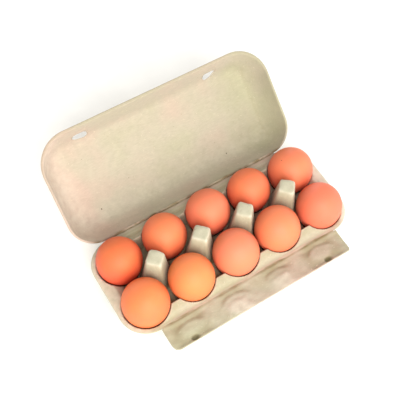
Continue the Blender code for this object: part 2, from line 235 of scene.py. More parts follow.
def makePulp(name, turn, tone):
    material, add, shader, coordinates = startMaterial(name)
    place = add("ShaderNodeMapping", {"Location": (turn, turn * 0.7, turn * 0.4)}, {"Vector": coordinates})
    cloud = add("ShaderNodeTexNoise",
        {"Scale": 1.0 / (pulp["cloud"] * mm), "Detail": 2.5, "Roughness": 0.5}, {"Vector": place})
    lump = add("ShaderNodeTexNoise", {"Scale": 1.0 / (pulp["lump"] * mm), "Detail": 3.0, "Roughness": 0.55},
        {"Vector": place})
    fibre = add("ShaderNodeTexNoise",
        {"Scale": 1.0 / (pulp["fibre"] * mm), "Detail": 2.0, "Roughness": 0.7, "Distortion": 1.6},
        {"Vector": place})
    # Strands lie across the felt in one main direction
    across = add("ShaderNodeMapping", {"Scale": (0.35, 1.6, 1.0), "Rotation": (0.3, 0.2, 0.7)},
        {"Vector": place})
    strand = add("ShaderNodeTexNoise",
        {"Scale": 1.0 / (pulp["fibre"] * 1.6 * mm), "Detail": 1.0, "Distortion": 0.6}, {"Vector": across})
    # "hue" leans a region to green (-1) or pink (+1)
    hue = add("ShaderNodeAttribute", {"attribute_name": "hue"}).outputs["Fac"]
    leaning = add("ShaderNodeMath", {"operation": "MULTIPLY_ADD", 1: 0.3}, {0: hue, 2: cloud})
    cloudy = add("ShaderNodeValToRGB",
        {"stops": [(0.2, hexColour(pulp["green"])), (0.5, hexColour(pulp["base"])),
        (0.8, hexColour(pulp["pink"]))]}, {"Fac": leaning})
    lumpTone = add("ShaderNodeMath", {"operation": "MULTIPLY_ADD", 1: 0.16, 2: tone - 0.08}, {0: lump})
    strandTone = add("ShaderNodeMath", {"operation": "MULTIPLY_ADD", 1: 0.22, 2: 0.89}, {0: strand})
    value = add("ShaderNodeMath", {"operation": "MULTIPLY"}, {0: lumpTone, 1: strandTone})
    toned = add("ShaderNodeVectorMath", {"operation": "SCALE"}, {0: cloudy, "Scale": value})
    # Painted shade: the hollow share mixes in the shade colour in hollows, creases and on faces turned
    # from the light. Rubbed edges, and faces given painted light, are paler in patches
    hollow = add("ShaderNodeAttribute", {"attribute_name": "hollow"}).outputs["Fac"]
    shadeMixed = add("ShaderNodeMix", {"data_type": "RGBA", 7: hexColour(pulp["shade"])},
        {0: hollow, 6: toned}).outputs[2]
    wear = add("ShaderNodeAttribute", {"attribute_name": "wear"}).outputs["Fac"]
    patch = add("ShaderNodeMath", {"operation": "MULTIPLY_ADD", 1: 1.4, 2: -0.05}, {0: lump})
    paleShare = add("ShaderNodeMath", {"operation": "MULTIPLY", "use_clamp": True}, {0: wear, 1: patch})
    wornAndLit = add("ShaderNodeMix", {"data_type": "RGBA", 7: hexColour(pulp["paleWornAndLit"])},
        {0: paleShare, 6: shadeMixed}).outputs[2]
    flecked = sprinkle(add, place, wornAndLit, pulp["fleck"], pulp["fleckGap"], 0.055, 2.6, 1.9)
    connect(shader, {"Base Color": flecked})
    rough = add("ShaderNodeMath", {"operation": "MULTIPLY_ADD", 1: 0.12, 2: pulp["roughness"] - 0.06},
        {0: lump})
    connect(shader, {"Roughness": rough})
    felt = add("ShaderNodeMath", {"operation": "ADD"}, {0: fibre, 1: strand})
    fine = add("ShaderNodeBump", {"Strength": 0.5, "Distance": 0.12 * mm}, {"Height": felt})
    coarse = add("ShaderNodeBump", {"Strength": 0.65, "Distance": 0.5 * mm},
        {"Height": lump, "Normal": fine})
    connect(shader, {"Normal": coarse})
    shader.inputs["Specular IOR Level"].default_value = 0.25
    shader.inputs["Sheen Weight"].default_value = 0.12
    shader.inputs["Sheen Roughness"].default_value = 0.6
    return material


# Eggshell: chalky and faintly satin, warm brown pigment laid on unevenly, fine pores.
shell = {
    "light": "#F08E54",
    "red": "#DA4A33",
    "bloom": "#EE8D74",     # the dry, pinkish cuticle over the pigment
    "freckle": "#8A3F28",
    "patch": 17.0,      # mm across one soft patch of pigment
    "pore": 0.7,        # mm; real pores are near 0.1 mm apart, drawn coarser so that they show
    "freckleGap": 5.0,
    "roughness": 0.52,
}


def makeShell(name):
    material, add, shader, place = startMaterial(name)
    patch = add("ShaderNodeTexNoise",
        {"Scale": 1.0 / (shell["patch"] * mm), "Detail": 3.0, "Roughness": 0.55}, {"Vector": place})
    pore = add("ShaderNodeTexNoise", {"Scale": 1.0 / (shell["pore"] * mm), "Detail": 2.0, "Roughness": 0.6},
        {"Vector": place})
    # The red share holds each egg's red pigment and painted shade below the blunt end
    redShare = add("ShaderNodeAttribute", {"attribute_name": "shellTint"}).outputs["Fac"]
    drift = add("ShaderNodeMath", {"operation": "MULTIPLY_ADD", 1: 0.36, 2: -0.18}, {0: patch})
    share = add("ShaderNodeMath", {"operation": "ADD", "use_clamp": True}, {0: redShare, 1: drift})
    pigment = add("ShaderNodeMix", {"data_type": "RGBA", 6: hexColour(shell["light"]),
        7: hexColour(shell["red"])}, {0: share}).outputs[2]
    bloom = add("ShaderNodeAttribute", {"attribute_name": "shellBloom"}).outputs["Fac"]
    dry = add("ShaderNodeMath", {"operation": "MULTIPLY_ADD", 1: 0.4, "use_clamp": True},
        {0: add("ShaderNodeMath", {"operation": "SUBTRACT", 1: 0.5}, {0: patch}), 2: bloom})
    pigment = add("ShaderNodeMix", {"data_type": "RGBA", 7: hexColour(shell["bloom"])},
        {0: dry, 6: pigment}).outputs[2]
    freckled = sprinkle(add, place, pigment, shell["freckle"], shell["freckleGap"], 0.06, 3.5, 3.0)
    connect(shader, {"Base Color": freckled})
    rough = add("ShaderNodeMath", {"operation": "MULTIPLY_ADD", 1: 0.16, 2: shell["roughness"] - 0.08},
        {0: pore})
    connect(shader, {"Roughness": rough})
    bump = add("ShaderNodeBump", {"Strength": 0.12, "Distance": 0.1 * mm}, {"Height": pore})
    connect(shader, {"Normal": bump})
    shader.inputs["Specular IOR Level"].default_value = 0.22
    return material


def makeFloorPaint(name):
    # Pale painted board: matt, barely mottled
    material, add, shader, place = startMaterial(name)
    mottle = add("ShaderNodeTexNoise", {"Scale": 30.0, "Detail": 4.0}, {"Vector": place})
    tone = add("ShaderNodeValToRGB", {"stops": [(0.3, hexColour("#F1F1EF")), (0.7, hexColour("#F6F6F4"))]},
        {"Fac": mottle})
    connect(shader, {"Base Color": tone})
    shader.inputs["Roughness"].default_value = 0.9
    return material


# Camera, lights and floor

camera = {
    "azimuth": -35.41,
    "elevation": 60.72,
    "roll": 3.99,
    "distance": 712.95,
    "aim": (0.91, 6.52, 36.5),
    "lens": 66.3,
}


def makeCamera():
    azimuth = math.radians(camera["azimuth"])
    elevation = math.radians(camera["elevation"])
    back = Vector((math.sin(azimuth) * math.cos(elevation), -math.cos(azimuth) * math.cos(elevation),
                   math.sin(elevation)))
    roll = Matrix.Rotation(math.radians(camera["roll"]), 3, "Z").to_quaternion()
    data = bpy.data.cameras.new("camera")
    data.lens = camera["lens"]
    data.sensor_width = 36.0
    data.clip_start = 0.01
    data.clip_end = 50.0
    eye = bpy.data.objects.new("camera", data)
    eye.rotation_mode = "QUATERNION"
    eye.rotation_quaternion = (-back).to_track_quat("-Z", "Y") @ roll
    eye.location = Vector(camera["aim"]) * mm + back * camera["distance"] * mm
    bpy.context.scene.collection.objects.link(eye)
    bpy.context.scene.camera = eye
    return eye


light = {
    "sky": 0.50,
    "skyColour": "#FFFEFD",
    "keyColour": "#FFFDF9",
    # power, direction, distance and sides of the softbox in front, of the low one behind the lid
    # and of the low one on the right, which draws a pale edge on every shell
    "boxes": ((29.5, (-0.22, -0.77, 0.60), 1.3, (1.3, 1.3)), (26.0, (0.08, 0.95, 0.20), 1.5, (1.6, 0.35)),
              (6.0, (0.92, -0.30, 0.26), 1.4, (1.2, 0.5))),
}


def makeLight():
    world = bpy.data.worlds.new("studio")
    bpy.context.scene.world = world
    world.use_nodes = True
    sky = world.node_tree.nodes["Background"]
    sky.inputs["Color"].default_value = hexColour(light["skyColour"])
    sky.inputs["Strength"].default_value = light["sky"]
    for power, direction, distance, size in light["boxes"]:
        data = bpy.data.lights.new("softbox", "AREA")
        data.energy = power
        data.color = hexColour(light["keyColour"])[:3]
        data.shape = "RECTANGLE"
        data.size, data.size_y = size
        softbox = bpy.data.objects.new("softbox", data)
        towards = Vector(direction).normalized()
        softbox.location = Vector(camera["aim"]) * mm + towards * distance
        softbox.rotation_mode = "QUATERNION"
        softbox.rotation_quaternion = (-towards).to_track_quat("-Z", "Y")
        bpy.context.scene.collection.objects.link(softbox)


def makeFloor():
    bm = bmesh.new()
    bmesh.ops.create_grid(bm, x_segments=12, y_segments=12, size=3.0)
    mesh = bpy.data.meshes.new("floor")
    bm.to_mesh(mesh)
    bm.free()
    floor = makePiece("floor", mesh, makeFloorPaint("paleBoard"))
    floor.location.z = cadLow.z


bpy.context.scene.view_settings.view_transform = "Standard"
makeCamera()
makeLight()
makeFloor()
print("stage: camera, light and floor")

# The lid's and the flap's copies are a little darker than the tray's: painted shade
pulpTray = makePulp("mouldedPulpTray", 0.0, 1.0)
pulpLid = makePulp("mouldedPulpLid", 0.31, 0.97)
pulpFlap = makePulp("mouldedPulpFlap", 0.57, 0.95)
eggshell = makeShell("brownEggshell")


# Eggs: their sizes come first, because each cup is shaped round its egg

eggs = {
    "level": 36.5,      # height of the widest level
    "blunt": 1.134, "point": 1.43, "taper": 0.13,
    "segments": 72, "rings": 48,
    # painted shade: redder below the blunt end, much more on the back row
    "paintedShadeRed": {"front": 0.08, "back": 0.45},      # added redness below the blunt end
    "uneven": 0.10,     # mm, how far the shell strays from the true shape
    # radius, x and y in the cup, drop, lean, share of red pigment, share of pinkish bloom
    "front": ((22.2, -0.5, 0.4, 0.0, 0.0, 0.30, 0.05), (21.8, -0.4, 0.2, 0.0, 0.0, 0.13, 0.05),
              (22.1, 0.2, 0.2, 0.0, 0.0, 0.34, 0.5), (22.0, -0.5, 0.4, 0.0, 0.0, 0.30, 0.35),
              (22.1, 0.5, 0.0, 0.0, 0.0, 0.64, 0.45)),
    "back": ((21.7, -0.8, -0.5, 0.0, 0.0, 0.48, 0.0), (21.3, 0.0, 0.5, 1.0, 0.0, 0.33, 0.2),
             (21.6, 0.6, 0.9, 0.0, 0.0, 0.40, 0.4), (21.1, -0.5, 0.5, 0.0, 0.0, 0.43, 0.2),
             (22.2, 0.5, -1.0, 1.0, 4.0, 0.36, 0.35)),
}


# Gathers the points and faces of one moulded piece, with the values that its material reads.
class Skin:

    def __init__(self):
        self.blocks, self.faces, self.count = [], [], 0
        self.values = {"wear": [], "hollow": [], "hue": [], "fuzz": []}

    def add(self, x, y, z, **values):
        block = np.stack(np.broadcast_arrays(x, y, z), -1).reshape(-1, 3)
        for label, parts in self.values.items():
            parts.append(np.broadcast_to(values.get(label, 0.0), z.shape).ravel())
        self.blocks.append(block)
        self.count += len(block)
        return np.arange(self.count - len(block), self.count).reshape(z.shape)

    def mesh(self, name):
        values = {label: np.concatenate(parts) for label, parts in self.values.items()}
        values["hollow"] = np.clip(values["hollow"], 0.0, 1.0)
        return makeMesh(name, np.concatenate(self.blocks) * mm, self.faces, values)


# Tray: one moulded height field, millimetres, centred between the rows of cups

tray = {
    "last": 2,          # the cups' columns run from -2 to 2
    "pitch": 48.0, "row": 24.5, "wall": 2.0,
    "usualEgg": 22.2,   # radius of the egg that a cup's profile is drawn for
    "rimZ": 30.6, "rimEnd": 123.2, "rimFront": 51.4, "rimBack": 50.7, "undercut": 2.0,
    "saddle": 20.0, "halfPost": 36.5, "halfFoot": 32.0, "halfTip": 36.3, "frontHeel": 48.5, "backHeel": 43.0,
    "platform": (101.0, 105.5, 112.0), "platformTip": 26.0,
    "hinged": 98.0,     # half length of the stretch that a fold runs along
    "post": 61.5, "postTip": 7.9, "postBase": 11.2, "postFlare": 1.35, "postRound": 5.5,
    "cell": 0.8,        # spacing of the upper mesh
    "rowCells": 63, "cornerCells": 34,
    # where the grid's lines lie round a post, and where they are drawn to
    "gather": ((0.0, 5.0, 13.5, 16.8), (0.0, 6.2, 11.4, 16.8)),
    "postFoot": 17.5,
    "edge": ((0.15, 0.12), (0.0, 0.55), (0.12, 1.1), (0.55, 1.6)),      # inset and drop of the rim's rings
    "soften": 0.55,     # rounding of every edge
    "wobble": 0.2,      # unevenness of the moulded walls
    "seed": 11,
}
trayCentre = trayLow.y / mm + tray["rimFront"]
cupRadii = [0.0, 11.0, 12.6, 13.6, 23.6, 24.0, 24.3, 24.6]
cupHeights = [2.0, 2.0, 2.5, 4.0, 28.0, 30.6, 36.5, 62.0]
cupTightening = [0.0, 0.0, 0.0, 0.0, 1.35, 1.75, 1.5, 0.8]     # how closely a filled cup hugs its egg


# Distance from each cup's middle, as if its egg had the usual radius and sat in the middle
def cupDistance(x, y):
    column = np.clip(np.round(x / tray["pitch"]), -tray["last"], tray["last"])
    isFront = y < 0.0
    number = column.astype(int) + tray["last"]
    rows = [np.array([egg[:3] for egg in eggs[row]])[number] for row in ("front", "back")]
    radius, offX, offY = (np.where(isFront, rows[0][..., k], rows[1][..., k]) for k in range(3))
    rowY = np.where(isFront, -tray["row"], tray["row"])
    return np.hypot(x - column * tray["pitch"] - offX, y - rowY - offY) + tray["usualEgg"] - radius


# How far x lies from the nearest post, or half post, along the carton
def besidePost(x):
    gap = np.clip(np.floor(x / tray["pitch"]), -tray["last"], tray["last"] - 1)
    return x - (gap + 0.5) * tray["pitch"]


def webHeight(x, y):
    heel = np.where(y < 0.0, tray["frontHeel"], tray["backHeel"])
    away = np.abs(y)
    tip = tray["halfTip"]
    inner = np.interp(away, [tray["halfFoot"], tip], [tray["saddle"], tray["halfPost"]])
    outer = tray["halfPost"] + (tray["rimZ"] - tray["halfPost"]) * ramp(away, tip, heel - tip)
    # The half posts' tops are dished a little
    side = np.abs(besidePost(x)) / np.maximum(3.0 + 0.95 * (away - 34.0), 3.0)
    dish = 0.8 * np.clip(1.0 - side ** 2, 0.0, 1.0) * np.clip((heel + 0.5 - away) / 3.0, 0.0, 1.0)
    halfPost = np.where(away < tip, inner, outer - dish * (away > tip))
    platform = np.interp(np.abs(x), tray["platform"], [tray["saddle"], tray["platformTip"], tray["rimZ"]])
    between = np.abs(x) < tray["last"] * tray["pitch"]
    return np.where(between, halfPost, np.where(away > tray["row"], tray["rimZ"], platform))


def postHeight(x, y):
    seed = tray["seed"]
    fromPost = besidePost(x)
    away = np.hypot(fromPost, y)
    swell = ramp(away, 18.0, -4.0)
    swayX, swayY = (0.7 * smoothNoise(x, y, 0.0, 6.5, seed + k)
                    + 0.25 * smoothNoise(x, y, 0.0, 2.6, seed + k + 4) for k in (4, 5))
    fromPost, y = fromPost + swell * swayX, y + swell * swayY
    left, right = np.abs(fromPost + y) / math.sqrt(2.0), np.abs(fromPost - y) / math.sqrt(2.0)
    power = tray["postRound"]
    reach = (left ** power + right ** power) ** (1.0 / power)
    run = (reach - tray["postTip"]) / (tray["postBase"] - tray["postTip"])
    dome = 1.5 * np.clip(reach / tray["postTip"], 0.0, 1.0) ** 4
    top = tray["post"] - 0.2 - (dome + 0.35 * (1.0 - smoothNoise(x, y, 0.0, 5.0, seed + 6)))
    return top - (top - tray["rimZ"]) * np.maximum(run, 0.0) ** (1.0 / tray["postFlare"])


def mouldHeight(x, y):
    seed = tray["seed"]
    wobbleX = tray["wobble"] * smoothNoise(x, y, 0.0, 13.0, seed)
    wobbleY = tray["wobble"] * smoothNoise(x, y, 0.0, 13.0, seed + 1)
    x, y = x + wobbleX, y + wobbleY
    cups = np.interp(cupDistance(x, y), np.subtract(cupRadii, cupTightening), cupHeights)
    return np.maximum(np.minimum(cups, webHeight(x, y)), postHeight(x, y))


def shifted(field, i, j):
    return np.roll(np.roll(field, i, 0), j, 1)


# The tray's upper and lower face on a fine lattice, with rounded edges and one wall thickness.
class MouldField:

    def __init__(self, step=0.5, margin=6.0):
        self.step = step
        self.lowX = -tray["rimEnd"] - margin
        self.lowY = -tray["rimFront"] - margin
        countX = int((2.0 * tray["rimEnd"] + 2.0 * margin) / step) + 1
        countY = int((tray["rimFront"] + tray["rimBack"] + 2.0 * margin) / step) + 1
        x = self.lowX + step * np.arange(countX)[:, None]
        y = self.lowY + step * np.arange(countY)[None, :]
        x, y = np.broadcast_arrays(x, y)
        raw = mouldHeight(x, y)
        self.top = self.blur(raw, tray["soften"] / step)
        self.top = self.top + 0.10 * smoothNoise(x, y, 0.0, 6.0, tray["seed"] + 2) - 0.10
        under = self.top - tray["wall"]
        reach = int(tray["wall"] / step)
        for i in range(-reach, reach + 1):
            for j in range(-reach, reach + 1):
                away = step * math.hypot(i, j)
                if 0.0 < away < tray["wall"]:
                    drop = math.sqrt(tray["wall"] ** 2 - away ** 2)
                    under = np.minimum(under, shifted(self.top, i, j) - drop)
        self.under = np.maximum(under, 0.0)
        slopeX, slopeY = np.gradient(self.top, step)
        size = np.sqrt(1.0 + slopeX ** 2 + slopeY ** 2)
        self.bend = np.gradient(slopeX / size, step, axis=0) + np.gradient(slopeY / size, step, axis=1)

    def blur(self, field, sigma):
        reach = int(math.ceil(2.5 * sigma))
        weights = [math.exp(-0.5 * (k / sigma) ** 2) for k in range(-reach, reach + 1)]
        for axis in (0, 1):
            total = sum(w * np.roll(field, k - reach, axis) for k, w in enumerate(weights))
            field = total / sum(weights)
        return field

    def sample(self, field, x, y):
        u = (x - self.lowX) / self.step
        v = (y - self.lowY) / self.step
        i = np.clip(u.astype(int), 0, field.shape[0] - 2)
        j = np.clip(v.astype(int), 0, field.shape[1] - 2)
        a, b = u - i, v - j
        return ((field[i, j] * (1 - a) + field[i + 1, j] * a) * (1 - b)
                + (field[i, j + 1] * (1 - a) + field[i + 1, j + 1] * a) * b)


# Points of a grid over the tray's outline; its end blocks bend into the rounded corners.
def trayGrid(inset):
    cornerX = tray["last"] * tray["pitch"]
    row = tray["row"]
    cells = tray["cornerCells"]
    middleX = np.linspace(-cornerX, cornerX, int(2 * cornerX / tray["cell"]) + 1)
    middleY = np.linspace(-row, row, tray["rowCells"])
    shares = np.linspace(0.0, 1.0, cells + 1)[1:]
    endSize = tray["rimEnd"] - cornerX - inset
    i = np.concatenate([-shares[::-1], np.zeros(len(middleX)), shares])
    x = np.concatenate([np.full(cells, -cornerX), middleX, np.full(cells, cornerX)])
    j = np.concatenate([-shares[::-1], np.zeros(len(middleY)), shares])
    y = np.concatenate([np.full(cells, -row), middleY, np.full(cells, row)])
    a, b = i[:, None], j[None, :]
    sizeY = np.where(b < 0.0, tray["rimFront"], tray["rimBack"]) - row - inset
    gridX = x[:, None] + endSize * a * np.sqrt(1.0 - b * b / 2.0)
    gridY = y[None, :] + sizeY * b * np.sqrt(1.0 - a * a / 2.0)
    return gatherAtPosts(gridX, gridY)


# Draws grid lines together on the steep sides of the posts.
def gatherAtPosts(x, y):
    fromPost = besidePost(x)
    reach = (np.abs(fromPost) + np.abs(y)) / math.sqrt(2.0)
    lines, drawn = tray["gather"]
    target = np.interp(reach, lines, drawn)
    factor = np.where((reach < lines[-1]) & (reach >= 1e-6), target / np.maximum(reach, 1e-6), 1.0)
    return x - fromPost + fromPost * factor, y * factor


# The numbers round the edge of a 2-D index array, as one closed loop.
def borderLoop(index):
    return np.concatenate([index[:-1, 0], index[-1, :-1], index[:0:-1, -1], index[0, :0:-1]])


# The outermost points of each grid, in the loop's order.
def borderOf(*grids):
    border = borderLoop(np.arange(grids[0].size).reshape(grids[0].shape))
    return [grid.ravel()[border] for grid in grids]


# How the pulp's tint leans over the tray
def trayHue(x, y, z):
    lean = np.interp(x, [-110.0, -60.0, 60.0, 100.0, 112.0], [-2.0, -0.8, -0.4, -0.5, -0.8])
    rim = ramp(np.abs(y), 47.5, 1.5) * (np.abs(x) < tray["hinged"])
    return lean - 0.6 * ramp(z, 31.0, 2.0) + 1.3 * rim


def makeTray():
    field = MouldField()
    skin = Skin()
    x, y = trayGrid(0.6)
    z = field.sample(field.top, x, y)
    bend = field.sample(field.bend, x, y)
    # Painted shade: darker in concave bends and towards the bottom of the cups
    paintedShade = np.clip(bend * 0.8, 0.0, 0.5) + 0.2 * ramp(z, 29.0, -14.0)
    # Convex edges are paler where they rub; painted light pales the right-hand end
    wornAndLit = np.clip(-bend * 0.8 - 0.15, 0.0, 0.5) + 1.4 * ramp(x, 104.0, 8.0)
    # The posts' tops are pale; painted shade darkens their sides towards the next cup
    fromPost = besidePost(x)
    isPost = np.hypot(fromPost, y) < tray["postFoot"]
    wornAndLit = wornAndLit + 0.35 * isPost * ramp(z, 56.0, 4.0)
    shadedSide = np.clip((fromPost - y - 6.0) / 5.0, 0.0, 1.0) * ramp(z, 57.0, -6.0)
    paintedShade = paintedShade + 0.5 * isPost * shadedSide
    # The front half posts' raised tops take a little of the shade colour
    paintedShade = paintedShade + 0.25 * ramp(z, 31.5, 2.0) * (np.abs(y) > 34.0) * (y < 0.0)
    foot = ramp(np.abs(fromPost), 13.0, -6.0)
    # Painted shade along the folds at the front and back rims, wider and darker beside the half posts
    hinged = np.clip((np.abs(y) - 49.8 + 0.6 * foot) / 1.0, 0.0, 1.0) * (np.abs(x) < tray["hinged"])
    paintedShade = paintedShade + (0.2 + 0.2 * foot) * hinged * (1.0 + smoothNoise(x, y, 0.0, 4.0, tray["seed"] + 12))
    # Painted shade: a soft dark line where each half post's slope meets the rim
    heel = 1.4 + np.where(y < 0.0, tray["frontHeel"], tray["backHeel"])
    fromHeel = np.abs(y) - heel + 0.4 * smoothNoise(x, y, 0.0, 5.0, tray["seed"] + 13)
    paintedShade = paintedShade + 0.3 * foot * np.exp(-(fromHeel / 0.9) ** 2)
    # Painted light pales the left-hand end
    wornAndLit = wornAndLit + 0.7 * ramp(-x, 102.0, 8.0)
    # Along the folds the rim takes a little painted shade and is not rubbed; the front half posts' tops are
    # a little paler
    isRim = (z < 31.2) * (np.abs(y) > 46.5) * (np.abs(x) < tray["hinged"])
    paintedShade = paintedShade + 0.12 * isRim
    wornAndLit = np.where(isRim, 0.0, wornAndLit) + 0.12 * ramp(z, 31.4, 0.8) * (y < -34.0)
    top = skin.add(x, y + trayCentre, z, wear=wornAndLit * (1.0 - hinged), hollow=paintedShade, hue=trayHue(x, y, z),
                   fuzz=1.0 * (np.abs(y) < 46.0))
    skin.faces += gridFaces(top)
    loop = borderLoop(top)
    for inset, drop in tray["edge"]:
        ringX, ringY = borderOf(*trayGrid(inset))
        ringZ = np.full(ringX.shape, tray["rimZ"] - 0.1 - drop)
        # Rubbed paler at the ends; every ring of the rounded edge takes a little painted shade
        paleShare = 0.3 * (np.abs(ringX) > tray["hinged"])
        following = skin.add(ringX, ringY + trayCentre, ringZ, wear=paleShare, hollow=0.2,
                             hue=trayHue(ringX, ringY, ringZ))
        skin.faces += ringFaces(loop, following)
        loop = following
    x, y = trayGrid(tray["undercut"])
    x, y = x[::2, ::2], y[::2, ::2]
    z = field.sample(field.under, x, y)
    edge = np.zeros(z.shape, bool)
    edge[0, :] = edge[-1, :] = edge[:, 0] = edge[:, -1] = True
    z = np.where(edge, tray["rimZ"] - tray["wall"], z)
    # The underside takes a little painted shade
    under = skin.add(x, y + trayCentre, z, hollow=0.1, hue=trayHue(x, y, z))
    skin.faces += gridFaces(under[:, ::-1])
    coarse = borderLoop(under)
    for k in range(len(coarse)):
        a, b, c = loop[2 * k], loop[2 * k + 1], loop[(2 * k + 2) % len(loop)]
        d, e = coarse[k], coarse[(k + 1) % len(coarse)]
        skin.faces += [[a, b, d], [b, c, e], [b, e, d]]
    mesh = skin.mesh("pulp_tray")
    piece = makePiece("pulp_tray", tidyMesh(mesh), pulpTray)
    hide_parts("tray")
    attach(piece, "tray")
    print("stage: tray", len(mesh.polygons), "faces")
    return piece


makeTray()


# Lid: two nested skins of rounded rectangles, millimetres in the lid's own frame.
# s runs from the hinge to the far edge, n from the rim to the floor.

lid = {
    "open": -math.radians(joints["lid_hinge"]["range_deg"][0]),
    "wall": 1.7,
    "farRadius": 33.0, "nearRadius": 27.0,
    "cornerSteps": 18, "longSteps": 72, "shortSteps": 20,
    "wallLevels": 34, "floorRings": 12,
    "slotDepth": 20.4, "slotHeight": 5.6, "slotSteps": 48,
    "studCut": (-6.0, 6.0), "coreCut": (12.0, 38.0),      # how far the two cuts of a slot run
    # middle along x, half length, reach at the middle, half width, slant, bow, taper
    "slots": ((-72.5, 8.0, 96.9, 2.7, -0.9, 0.0, 0.1), (72.0, 7.0, 96.4, 2.7, 0.7, 1.7, -0.35)),
    "seed": 41,
}
# depth, end wall, far wall, hinge wall of the inner skin, from the lip to the floor's edge
lidWalls = np.array([
    (0.15, 121.2, 107.0, 1.95), (6.0, 120.2, 104.9, 2.6), (14.0, 118.5, 101.5, 4.3),
    (20.0, 116.6, 98.8, 6.4), (26.0, 113.8, 95.9, 10.4), (30.2, 110.9, 92.6, 14.6),
    (32.3, 107.6, 89.2, 18.6), (33.0, 102.5, 84.0, 25.0)])
lidLip = (123.2, 110.1, -0.05)


def lidToWorld(x, s, n):
    c, d = math.cos(lid["open"]), math.sin(lid["open"])
    y = lidAxis[1] / mm - s * c + n * d
    z = lidAxis[2] / mm + s * d + n * c
    return np.stack([x, y, z], -1)


# Rows of a table drawn through a smooth curve, evenly along its length.
def smoothRows(rows, count):
    rows = np.asarray(rows, float)
    padded = np.concatenate([[2 * rows[0] - rows[1]], rows, [2 * rows[-1] - rows[-2]]])
    fine = []
    for k in range(len(rows) - 1):
        a, b, c, d = padded[k:k + 4]
        for t in np.linspace(0.0, 1.0, 24, endpoint=False):
            fine.append(0.5 * (2 * b + (c - a) * t + (2 * a - 5 * b + 4 * c - d) * t ** 2
                               + (3 * b - a - 3 * c + d) * t ** 3))
    fine.append(rows[-1])
    fine = np.array(fine)
    length = np.concatenate([[0.0], np.cumsum(np.hypot(np.diff(fine[:, 0]), np.diff(fine[:, 1])))])
    wanted = np.linspace(0.0, length[-1], count)
    return np.stack([np.interp(wanted, length, column) for column in fine.T], -1)


# The outer skin's rows: every side's profile moved outwards across the wall.
def offsetRows(rows, amount):
    depth = np.linspace(tray["wall"] + 0.15, rows[-1, 0] + amount, len(rows))
    sides = []
    for side, outwards in ((1, 1.0), (2, 1.0), (3, -1.0)):
        value = rows[:, side] * outwards
        slope = np.gradient(value, rows[:, 0])
        size = np.sqrt(1.0 + slope ** 2)
        movedDepth = rows[:, 0] - amount * slope / size
        moved = value + amount / size
        movedDepth[-1] = rows[-1, 0] + amount
        order = np.argsort(movedDepth)
        sides.append(outwards * np.interp(depth, movedDepth[order], moved[order]))
    return np.stack([depth, *sides], -1)


# One rounded rectangle of the lid as arrays x, s and n.
def lidRing(n, end, far, near):
    inset = lidLip[0] - end
    farRadius = max(lid["farRadius"] - inset, 0.4)
    nearRadius = max(lid["nearRadius"] - inset, 0.4)
    half = (far - near) / 2.0
    farRadius, nearRadius = min(farRadius, half), min(nearRadius, half)
    corners = ((end, far, farRadius, lid["longSteps"]), (-end, far, farRadius, lid["shortSteps"]),
               (-end, near, nearRadius, lid["longSteps"]), (end, near, nearRadius, lid["shortSteps"]))

    # Points of a corner's arc at angles in degrees
    def onCorner(k, degrees):
        cornerX, cornerS, radius = corners[k % 4][:3]
        centreX = cornerX - math.copysign(radius, cornerX)
        centreS = cornerS - radius if k % 4 < 2 else cornerS + radius
        angles = np.radians(degrees)
        return centreX + radius * np.cos(angles), centreS + radius * np.sin(angles)

    xs, ss = [], []
    for k, corner in enumerate(corners):
        arcX, arcS = onCorner(k, 90.0 * k + 90.0 * np.arange(lid["cornerSteps"]) / lid["cornerSteps"])
        lastX, lastS = onCorner(k, 90.0 * k + 90.0)
        nextX, nextS = onCorner(k + 1, 90.0 * ((k + 1) % 4))
        share = np.arange(corner[3]) / corner[3]
        xs += [arcX, lastX + (nextX - lastX) * share]
        ss += [arcS, lastS + (nextS - lastS) * share]
    x, s = np.concatenate(xs), np.concatenate(ss)
    return x, s, np.full(x.shape, n)


# Rings that close a skin's floor onto the line along its middle.
def floorRows(row):
    n, end, far, near = row
    half = (far - near) / 2.0
    return [(n, end - half * t, far - half * t, near + half * t)
            for t in np.linspace(0.0, 1.0, lid["floorRings"] + 1)[1:]]


